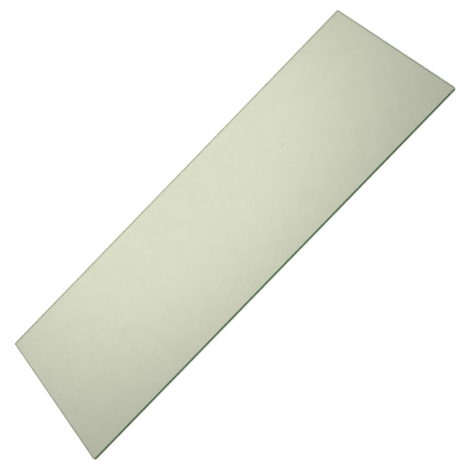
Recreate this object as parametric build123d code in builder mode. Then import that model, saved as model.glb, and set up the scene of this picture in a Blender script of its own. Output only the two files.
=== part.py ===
"""Glass refrigerator shelf: one flat sheet of toughened float glass, in millimetres.

The sheet is cut to a rectangle, its four corners are dubbed to a small radius, and every
sharp edge is seamed to a narrow 45 degree arris before the glass is toughened.

Frame: X runs along the shelf from wall to wall, the front edge is at -Y, +Z is up.
The origin is at the middle of the underside, which lies on the cabinet's ledges.
"""

import os

from build123d import *

# Driving dimensions
shelf_length = 440.0  # along X, between the cabinet walls
shelf_depth = 150.0  # along Y, front edge to rear edge
glass_thickness = 4.0  # along Z, a standard float glass thickness
corner_radius = 1.0  # dubbed corners, seen from above
arris_width = 0.5  # width of the seam, measured on each of the two faces that it joins

# Glass sheet
with BuildPart() as glass_shelf:
    with BuildSketch():
        RectangleRounded(shelf_length, shelf_depth, corner_radius)
    extrude(amount=glass_thickness)
    edges_by_height = glass_shelf.edges().group_by(Axis.Z)
    underside_edges = edges_by_height[0]
    top_edges = edges_by_height[-1]
    chamfer(underside_edges + top_edges, arris_width)

glass_shelf.part.label = "glass_shelf"

# One STEP file for each piece
os.makedirs("parts", exist_ok=True)
export_step(glass_shelf.part, "parts/glass_shelf.step")
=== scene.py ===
"""Looks of a glass refrigerator shelf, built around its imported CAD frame, in metres."""

import math

import bmesh
import bpy
from mathutils import Matrix, Vector, noise


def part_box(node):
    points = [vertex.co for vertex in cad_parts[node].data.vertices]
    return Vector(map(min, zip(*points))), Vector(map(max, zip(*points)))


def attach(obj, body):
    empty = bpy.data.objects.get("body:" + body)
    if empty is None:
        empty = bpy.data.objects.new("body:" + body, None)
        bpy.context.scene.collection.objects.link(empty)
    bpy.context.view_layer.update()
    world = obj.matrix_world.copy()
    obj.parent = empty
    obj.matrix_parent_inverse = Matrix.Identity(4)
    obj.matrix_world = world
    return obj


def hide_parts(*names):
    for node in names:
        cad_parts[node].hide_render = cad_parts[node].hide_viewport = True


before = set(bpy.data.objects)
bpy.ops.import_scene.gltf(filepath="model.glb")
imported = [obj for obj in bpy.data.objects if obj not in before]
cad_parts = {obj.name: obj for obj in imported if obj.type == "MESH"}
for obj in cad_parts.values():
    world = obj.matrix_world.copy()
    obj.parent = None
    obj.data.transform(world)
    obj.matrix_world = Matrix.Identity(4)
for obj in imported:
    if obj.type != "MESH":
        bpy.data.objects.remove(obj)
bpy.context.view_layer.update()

MM = 0.001

# Glass sheet
SHEET_LOW, SHEET_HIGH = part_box("glass_shelf")
LENGTH, DEPTH, THICKNESS = SHEET_HIGH - SHEET_LOW
CORNER_RADIUS = 1.0 * MM
CORNER_STEPS = 8
ARRIS_WIDTH = 0.5 * MM
LEFT_SHARE = 0.5  # share of that width on each edge, as each is seamed in a pass of its own
RIGHT_SHARE = 0.85
LONG_EDGE_SHARE = 1.0
ARRIS_UNEVENNESS = 0.15  # share of the width by which the seaming belt wanders
ARRIS_WANDER_LENGTH = 18 * MM
ARRIS_BLEND_RADIUS = 0.15 * MM  # the seam runs into its two neighbours over a tiny round
ARRIS_BLEND_STEPS = 3
GRID_PITCH = 5 * MM
MERGE_DISTANCE = 0.01 * MM
UNDERSIDE_LAYER = 0.5  # the two seams wander apart, each by its own layer of the noise
TOP_LAYER = 7.5

# Glass finishes, the two colours of each being the ends of its mottling
FACE_COLOURS = ((0.690, 0.693, 0.549, 1), (0.803, 0.806, 0.639, 1))
FACE_ROUGHNESSES = (0.0, 0.03)
FACE_CLEAR = 1.0
FLAT_COLOURS = ((0.03, 0.12, 0.01, 1), (0.21, 0.45, 0.065, 1))
FLAT_ROUGHNESS = 0.12
FLAT_CLEAR = 0.6
ARRIS_COLOURS = ((0.40, 0.63, 0.39, 1), (0.64, 0.89, 0.64, 1))
ARRIS_ROUGHNESS = 0.5
ARRIS_CLEAR = 0.75
ARRIS_INNER_SHADED_COLOUR = (0.44, 0.44, 0.29, 1)  # the same seam seen through the glass: its own ground colour, darkened by painted shade for the floor's shadow under the seam
ARRIS_INNER_CLEAR = 0.65
GLASS_IOR = 1.52
BODY_COLOUR = (0.35, 0.62, 0.35, 1)
BODY_DENSITY = 25.0
FACE_TILT = 0.95  # a face's normal stands up at least this far
FLAT_TILT = 0.3  # and the ground flat's at most this far

# Marks on the glass
FILM_GRAIN = Vector((16, 16, 16)) * MM
FILM_DETAIL = 3.0
FILM_FALLOFF = 1.0
SMEAR_GRAIN = Vector((60, 35, 35)) * MM
SMEAR_DETAIL = 1.0
STREAK_GRAIN = Vector((24, 24, 0.4)) * MM  # the grinding wheel's lines run along the edges
STREAK_DETAIL = 2.0
STREAK_HEIGHT = 0.02 * MM
PLAIN_FALLOFF = 0.5  # each finer layer of smears and streaks is half as strong as the one before
SPECK_PLACE = Vector((88.8, 11.3, 4.0)) * MM
SPECK_CORE = 0.3 * MM  # radii of its dark middle and of its soft rim
SPECK_RIM = 2.1 * MM
SPECK_COLOUR = (0.545, 0.545, 0.435, 1)

# Camera
CAMERA_AIM = Vector((0.615, -16.88, 0.0)) * MM
CAMERA_AZIMUTH = math.radians(1.325)
CAMERA_ELEVATION = math.radians(56.774)
CAMERA_ROLL = math.radians(-46.976)
CAMERA_DISTANCE = 737.2 * MM
CAMERA_LENS = 63.455  # focal length and sensor width, both in camera millimetres
CAMERA_SENSOR = 36.0

# Stage
FLOOR_SIZE = 12.0
FLOOR_GAP = 0.2 * MM  # air between the floor and the sheet
FLOOR_COLOUR = (0.8, 0.8, 0.8, 1)
POOL_CENTRE = Vector((-6, 80, 0)) * MM  # the painted pool of light on the floor that the glass shows
POOL_REACH = Vector((248, 184, 1000)) * MM
POOL_INNER_LEVEL = 1.0
POOL_OUTER_LEVEL = 0.37
CONTACT_REACH = 8 * MM  # how far from the sheet a painted contact shadow dims the floor where the glass reflects it
WORLD_COLOUR = (1, 1, 1, 1)
WORLD_LEVEL = 0.6  # the world as a light
BACKDROP_LEVEL = 1.0  # the world as the camera and the glass see it
LAMP_SIZE = (1.4, 3.8)  # the longer side runs along the sheet
LAMP_POWER = 28.0
LAMP_PLACE = Vector((-0.7, 0.05, 2.5))
GLOW_CENTRE = Vector((LAMP_PLACE.x, LAMP_PLACE.y, 0))
GLOW_REACH = Vector((2, 2, 2))
GLOW_INNER_LEVEL = 0.40  # the floor glows less below the softbox, so that it is evenly white
GLOW_OUTER_LEVEL = 0.53


def side_pieces(length):
    """How many pieces of about the grid's pitch the straight part of a side is divided into."""
    return round((length - 2 * CORNER_RADIUS) / GRID_PITCH)


def outline():
    """Stations round the sheet seen from above, as (point, outward direction), counter-clockwise."""
    corner_x = LENGTH / 2 - CORNER_RADIUS
    corner_y = DEPTH / 2 - CORNER_RADIUS
    corners = [(1, -1), (1, 1), (-1, 1), (-1, -1)]
    quarter_turn = math.radians(90)
    stations = []
    for quarter, (side_x, side_y) in enumerate(corners):
        centre = Vector((side_x * corner_x, side_y * corner_y, 0))
        for step in range(CORNER_STEPS + 1):
            angle = quarter_turn * (quarter - 1 + step / CORNER_STEPS)
            outward = Vector((math.cos(angle), math.sin(angle), 0))
            stations.append((centre + outward * CORNER_RADIUS, outward))
        next_x, next_y = corners[(quarter + 1) % len(corners)]
        start = stations[-1][0]
        end = Vector((next_x * corner_x, next_y * corner_y, 0)) + outward * CORNER_RADIUS
        pieces = side_pieces(DEPTH if next_x == side_x else LENGTH)
        for piece in range(1, pieces):
            stations.append((start.lerp(end, piece / pieces), outward))
    return stations


def blend(before, corner, after):
    """Points of the small round that takes the place of a profile's corner."""
    towards_before = (before - corner).normalized()
    towards_after = (after - corner).normalized()
    half_angle = towards_before.angle(towards_after) / 2
    reach = ARRIS_BLEND_RADIUS / math.tan(half_angle)
    middle = (towards_before + towards_after).normalized()
    centre = corner + middle * (ARRIS_BLEND_RADIUS / math.sin(half_angle))
    start = (corner + towards_before * reach - centre).normalized()
    end = (corner + towards_after * reach - centre).normalized()
    shares = [step / ARRIS_BLEND_STEPS for step in range(ARRIS_BLEND_STEPS + 1)]
    return [centre + start.slerp(end, share) * ARRIS_BLEND_RADIUS for share in shares]


def edge_profile(lower_width, upper_width):
    """Section of the edge from the underside's grid to the top's grid, as (inset, height) points."""
    corners = [
        Vector((CORNER_RADIUS, 0)),
        Vector((lower_width, 0)),
        Vector((0, lower_width)),
        Vector((0, THICKNESS - upper_width)),
        Vector((upper_width, THICKNESS)),
        Vector((CORNER_RADIUS, THICKNESS)),
    ]
    points = corners[:1]
    for before, corner, after in zip(corners, corners[1:], corners[2:]):
        points.extend(blend(before, corner, after))
    return points + corners[-1:]


def arris_width(point, outward, layer):
    """Width of the seam at a station of the outline; layer picks the underside's or the top's."""
    short_edge_share = LEFT_SHARE if outward.x < 0 else RIGHT_SHARE
    share = short_edge_share * outward.x**2 + LONG_EDGE_SHARE * outward.y**2
    wander = noise.noise(point / ARRIS_WANDER_LENGTH + Vector((0, 0, layer)))
    return ARRIS_WIDTH * share * (1 + ARRIS_UNEVENNESS * wander)


def glass_sheet_mesh():
    """The closed skin of the sheet: edge strips all round, and a grid of quads above and below."""
    bm = bmesh.new()
    columns = []
    for point, outward in outline():
        lower_width = arris_width(point, outward, UNDERSIDE_LAYER)
        upper_width = arris_width(point, outward, TOP_LAYER)
        profile = edge_profile(lower_width, upper_width)
        base = point + Vector((0, 0, SHEET_LOW.z))
        columns.append([bm.verts.new(base - outward * p.x + Vector((0, 0, p.y))) for p in profile])
    for column, next_column in zip(columns, columns[1:] + columns[:1]):
        for level in range(len(column) - 1):
            bm.faces.new((column[level], next_column[level], next_column[level + 1], column[level + 1]))
    for height in (SHEET_LOW.z, SHEET_HIGH.z):
        half_grid = (LENGTH / 2 - CORNER_RADIUS, DEPTH / 2 - CORNER_RADIUS, 1, 1)
        place = Matrix.Translation((0, 0, height)) @ Matrix.Diagonal(half_grid)
        pieces_x = side_pieces(LENGTH)
        pieces_y = side_pieces(DEPTH)
        bmesh.ops.create_grid(bm, x_segments=pieces_x, y_segments=pieces_y, size=1, matrix=place)
    bmesh.ops.remove_doubles(bm, verts=bm.verts, dist=MERGE_DISTANCE)
    bmesh.ops.recalc_face_normals(bm, faces=bm.faces)
    for face in bm.faces:
        face.smooth = True
    mesh = bpy.data.meshes.new("glass_sheet")
    bm.to_mesh(mesh)
    bm.free()
    return mesh


def new_material(name):
    """An empty node material with its output node."""
    material = bpy.data.materials.new(name)
    material.use_nodes = True
    nodes = material.node_tree.nodes
    nodes.clear()
    return material, nodes, material.node_tree.links, nodes.new("ShaderNodeOutputMaterial")


def feed(links, socket, value):
    """Links an input to another node's socket, or sets it to a constant."""
    if isinstance(value, bpy.types.NodeSocket):
        links.new(value, socket)
    else:
        socket.default_value = value


def math_node(nodes, links, operation, *values):
    """A Math node; each value is a socket or a number."""
    node = nodes.new("ShaderNodeMath")
    node.operation = operation
    for socket, value in zip(node.inputs, values):
        feed(links, socket, value)
    return node.outputs[0]


def mix_node(nodes, links, kind, factor, first, second):
    """A Mix node of kind FLOAT or RGBA, from first at factor 0 to second at factor 1."""
    node = nodes.new("ShaderNodeMix")
    node.data_type = kind
    sockets = [socket for socket in node.inputs if socket.enabled]
    for socket, value in zip(sockets, (factor, first, second)):
        feed(links, socket, value)
    return next(socket for socket in node.outputs if socket.enabled)


def noise_node(nodes, links, place, grain, detail, falloff):
    """Noise from 0 to 1 whose largest blobs are about as large as grain along each axis."""
    mapping = nodes.new("ShaderNodeMapping")
    mapping.vector_type = "TEXTURE"
    mapping.inputs["Scale"].default_value = grain
    links.new(place, mapping.inputs["Vector"])
    node = nodes.new("ShaderNodeTexNoise")
    node.inputs["Scale"].default_value = 1.0
    node.inputs["Detail"].default_value = detail
    node.inputs["Roughness"].default_value = falloff
    links.new(mapping.outputs[0], node.inputs["Vector"])
    return node.outputs["Fac"]


def edge_masks(nodes, links):
    """Where the edges are ground, where they are seamed, and which side of the skin is seen."""
    geometry = nodes.new("ShaderNodeNewGeometry")
    normal = nodes.new("ShaderNodeSeparateXYZ")
    links.new(geometry.outputs["True Normal"], normal.inputs[0])
    tilt = math_node(nodes, links, "ABSOLUTE", normal.outputs["Z"])
    edge = math_node(nodes, links, "LESS_THAN", tilt, FACE_TILT)
    arris = math_node(nodes, links, "GREATER_THAN", tilt, FLAT_TILT)
    outside = math_node(nodes, links, "SUBTRACT", 1.0, geometry.outputs["Backfacing"])
    # From inside, the flat is a clear mirror like the faces
    matt = math_node(nodes, links, "MAXIMUM", arris, outside)
    ground = math_node(nodes, links, "MULTIPLY", edge, matt)
    return ground, arris, outside


def speck_mask(nodes, links, place):
    """1 in the core of the speck of dirt, fading to 0 at its rim."""
    distance = nodes.new("ShaderNodeVectorMath")
    distance.operation = "DISTANCE"
    links.new(place, distance.inputs[0])
    distance.inputs[1].default_value = SPECK_PLACE
    fade = nodes.new("ShaderNodeMapRange")
    fade.inputs["From Min"].default_value = SPECK_RIM
    fade.inputs["From Max"].default_value = SPECK_CORE
    links.new(distance.outputs["Value"], fade.inputs["Value"])
    return fade.outputs["Result"]


def float_glass():
    """Clear glass with a faint grey-green body colour, a thin film on its faces and ground edges."""
    material, nodes, links, output = new_material("float_glass")
    ground, arris, outside = edge_masks(nodes, links)
    place = nodes.new("ShaderNodeTexCoord").outputs["Object"]
    film = noise_node(nodes, links, place, FILM_GRAIN, FILM_DETAIL, FILM_FALLOFF)
    smear = noise_node(nodes, links, place, SMEAR_GRAIN, SMEAR_DETAIL, PLAIN_FALLOFF)
    streaks = noise_node(nodes, links, place, STREAK_GRAIN, STREAK_DETAIL, PLAIN_FALLOFF)
    speck = speck_mask(nodes, links, place)

    def mix(kind, factor, first, second):
        """A Mix node of this material."""
        return mix_node(nodes, links, kind, factor, first, second)

    def by_finish(kind, face, flat, seam, inner_seam):
        """The values of the glass's finishes, put together by the masks."""
        seen_seam = mix(kind, outside, inner_seam, seam)
        return mix(kind, ground, face, mix(kind, arris, flat, seen_seam))

    face_colour = mix("RGBA", speck, mix("RGBA", film, *FACE_COLOURS), SPECK_COLOUR)
    flat_colour = mix("RGBA", streaks, *FLAT_COLOURS)
    arris_colour = mix("RGBA", streaks, *ARRIS_COLOURS)
    face_roughness = mix("FLOAT", smear, *FACE_ROUGHNESSES)

    shader = nodes.new("ShaderNodeBsdfPrincipled")
    # Seen from inside, the seam's colour holds painted shade for the floor's shadow under it
    colour = by_finish("RGBA", face_colour, flat_colour, arris_colour, ARRIS_INNER_SHADED_COLOUR)
    links.new(colour, shader.inputs["Base Color"])
    roughness = by_finish("FLOAT", face_roughness, FLAT_ROUGHNESS, ARRIS_ROUGHNESS, ARRIS_ROUGHNESS)
    links.new(roughness, shader.inputs["Roughness"])
    clear = by_finish("FLOAT", FACE_CLEAR, FLAT_CLEAR, ARRIS_CLEAR, ARRIS_INNER_CLEAR)
    links.new(clear, shader.inputs["Transmission Weight"])
    shader.inputs["IOR"].default_value = GLASS_IOR
    bump = nodes.new("ShaderNodeBump")
    bump.inputs["Distance"].default_value = STREAK_HEIGHT
    links.new(ground, bump.inputs["Strength"])
    links.new(streaks, bump.inputs["Height"])
    links.new(bump.outputs[0], shader.inputs["Normal"])
    links.new(shader.outputs[0], output.inputs["Surface"])

    volume = nodes.new("ShaderNodeVolumeAbsorption")
    volume.inputs["Color"].default_value = BODY_COLOUR
    volume.inputs["Density"].default_value = BODY_DENSITY
    links.new(volume.outputs[0], output.inputs["Volume"])
    return material


def floor_level(nodes, links, centre, reach, inner_level, outer_level):
    """A level on the floor: the inner one round the centre, half-way to the outer one at the reach."""
    place = nodes.new("ShaderNodeTexCoord").outputs["Object"]
    mapping = nodes.new("ShaderNodeMapping")
    mapping.vector_type = "TEXTURE"
    mapping.inputs["Location"].default_value = centre
    mapping.inputs["Scale"].default_value = reach
    links.new(place, mapping.inputs["Vector"])
    square = nodes.new("ShaderNodeVectorMath")
    square.operation = "DOT_PRODUCT"
    links.new(mapping.outputs[0], square.inputs[0])
    links.new(mapping.outputs[0], square.inputs[1])
    fourth_power = math_node(nodes, links, "POWER", square.outputs["Value"], 2.0)
    spread = math_node(nodes, links, "ADD", fourth_power, 1.0)
    above_outer = math_node(nodes, links, "DIVIDE", inner_level - outer_level, spread)
    return math_node(nodes, links, "ADD", above_outer, outer_level)


def pale_floor():
    """White floor that keeps the sheet's shadow; in and through the glass it shows a painted pool of
    light.
    """
    material, nodes, links, output = new_material("pale_floor")
    path = nodes.new("ShaderNodeLightPath").outputs
    # Painted contact shadow: ambient occlusion dims the floor that the glass reflects
    contact = nodes.new("ShaderNodeAmbientOcclusion")
    contact.inputs["Distance"].default_value = CONTACT_REACH
    shade = mix_node(nodes, links, "FLOAT", path["Is Reflection Ray"], 1.0, contact.outputs["AO"])
    in_glass = nodes.new("ShaderNodeEmission")
    # Painted pool of light: emission graded by place on the floor, brightest round its centre
    pool = floor_level(nodes, links, POOL_CENTRE, POOL_REACH, POOL_INNER_LEVEL, POOL_OUTER_LEVEL)
    level = math_node(nodes, links, "MULTIPLY", pool, shade)
    links.new(level, in_glass.inputs["Strength"])
    lit = nodes.new("ShaderNodeBsdfDiffuse")
    lit.inputs["Color"].default_value = FLOOR_COLOUR
    glow = nodes.new("ShaderNodeEmission")
    even_glow = floor_level(nodes, links, GLOW_CENTRE, GLOW_REACH, GLOW_INNER_LEVEL, GLOW_OUTER_LEVEL)
    camera_glow = math_node(nodes, links, "MULTIPLY", path["Is Camera Ray"], even_glow)
    links.new(camera_glow, glow.inputs["Strength"])
    white = nodes.new("ShaderNodeAddShader")
    links.new(lit.outputs[0], white.inputs[0])
    links.new(glow.outputs[0], white.inputs[1])
    floor = nodes.new("ShaderNodeMixShader")
    through = math_node(nodes, links, "MAXIMUM", path["Is Glossy Ray"], path["Is Transmission Ray"])
    links.new(through, floor.inputs[0])
    links.new(white.outputs[0], floor.inputs[1])
    links.new(in_glass.outputs[0], floor.inputs[2])
    links.new(floor.outputs[0], output.inputs["Surface"])
    return material


def add_object(name, data):
    """A new object in the scene."""
    added = bpy.data.objects.new(name, data)
    bpy.context.scene.collection.objects.link(added)
    return added


def make_floor():
    """The floor that the sheet lies on."""
    mesh = bpy.data.meshes.new("floor")
    half = FLOOR_SIZE / 2
    corners = [(-half, -half, 0), (half, -half, 0), (half, half, 0), (-half, half, 0)]
    mesh.from_pydata(corners, [], [(0, 1, 2, 3)])
    mesh.materials.append(pale_floor())
    floor = add_object("floor", mesh)
    floor.location.z = SHEET_LOW.z - FLOOR_GAP


def make_light():
    """A pale world, white to the camera and in the glass, and a softbox with no image in the glass."""
    world = bpy.data.worlds.new("studio")
    bpy.context.scene.world = world
    world.use_nodes = True
    nodes = world.node_tree.nodes
    links = world.node_tree.links
    path = nodes.new("ShaderNodeLightPath").outputs
    in_glass = math_node(nodes, links, "MAXIMUM", path["Is Glossy Ray"], path["Is Transmission Ray"])
    seen = math_node(nodes, links, "MAXIMUM", path["Is Camera Ray"], in_glass)
    level = mix_node(nodes, links, "FLOAT", seen, WORLD_LEVEL, BACKDROP_LEVEL)
    background = nodes["Background"]
    background.inputs["Color"].default_value = WORLD_COLOUR
    links.new(level, background.inputs["Strength"])

    lamp = bpy.data.lights.new("softbox", "AREA")
    lamp.shape = "RECTANGLE"
    lamp.size, lamp.size_y = LAMP_SIZE
    lamp.energy = LAMP_POWER
    softbox = add_object("softbox", lamp)
    softbox.location = LAMP_PLACE
    softbox.rotation_euler = (-LAMP_PLACE).to_track_quat("-Z", "Y").to_euler()
    softbox.visible_glossy = False
    softbox.visible_transmission = False


def make_camera():
    """The photograph's camera: above the front edge, turned in its own plane."""
    level = math.cos(CAMERA_ELEVATION)
    back = Vector((
        math.sin(CAMERA_AZIMUTH) * level,
        -math.cos(CAMERA_AZIMUTH) * level,
        math.sin(CAMERA_ELEVATION),
    ))
    right = Vector((math.cos(CAMERA_AZIMUTH), math.sin(CAMERA_AZIMUTH), 0))
    upright = Matrix((right, back.cross(right), back)).transposed()
    rolled = upright @ Matrix.Rotation(CAMERA_ROLL, 3, "Z")
    data = bpy.data.cameras.new("camera")
    data.sensor_width = CAMERA_SENSOR
    data.lens = CAMERA_LENS
    camera = add_object("camera", data)
    camera.matrix_world = Matrix.Translation(CAMERA_AIM + back * CAMERA_DISTANCE) @ rolled.to_4x4()
    bpy.context.scene.camera = camera


sheet = add_object("glass_sheet", glass_sheet_mesh())
sheet.data.materials.append(float_glass())
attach(sheet, "root")
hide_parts("glass_shelf")

make_floor()
make_light()
make_camera()
bpy.context.scene.view_settings.view_transform = "Standard"
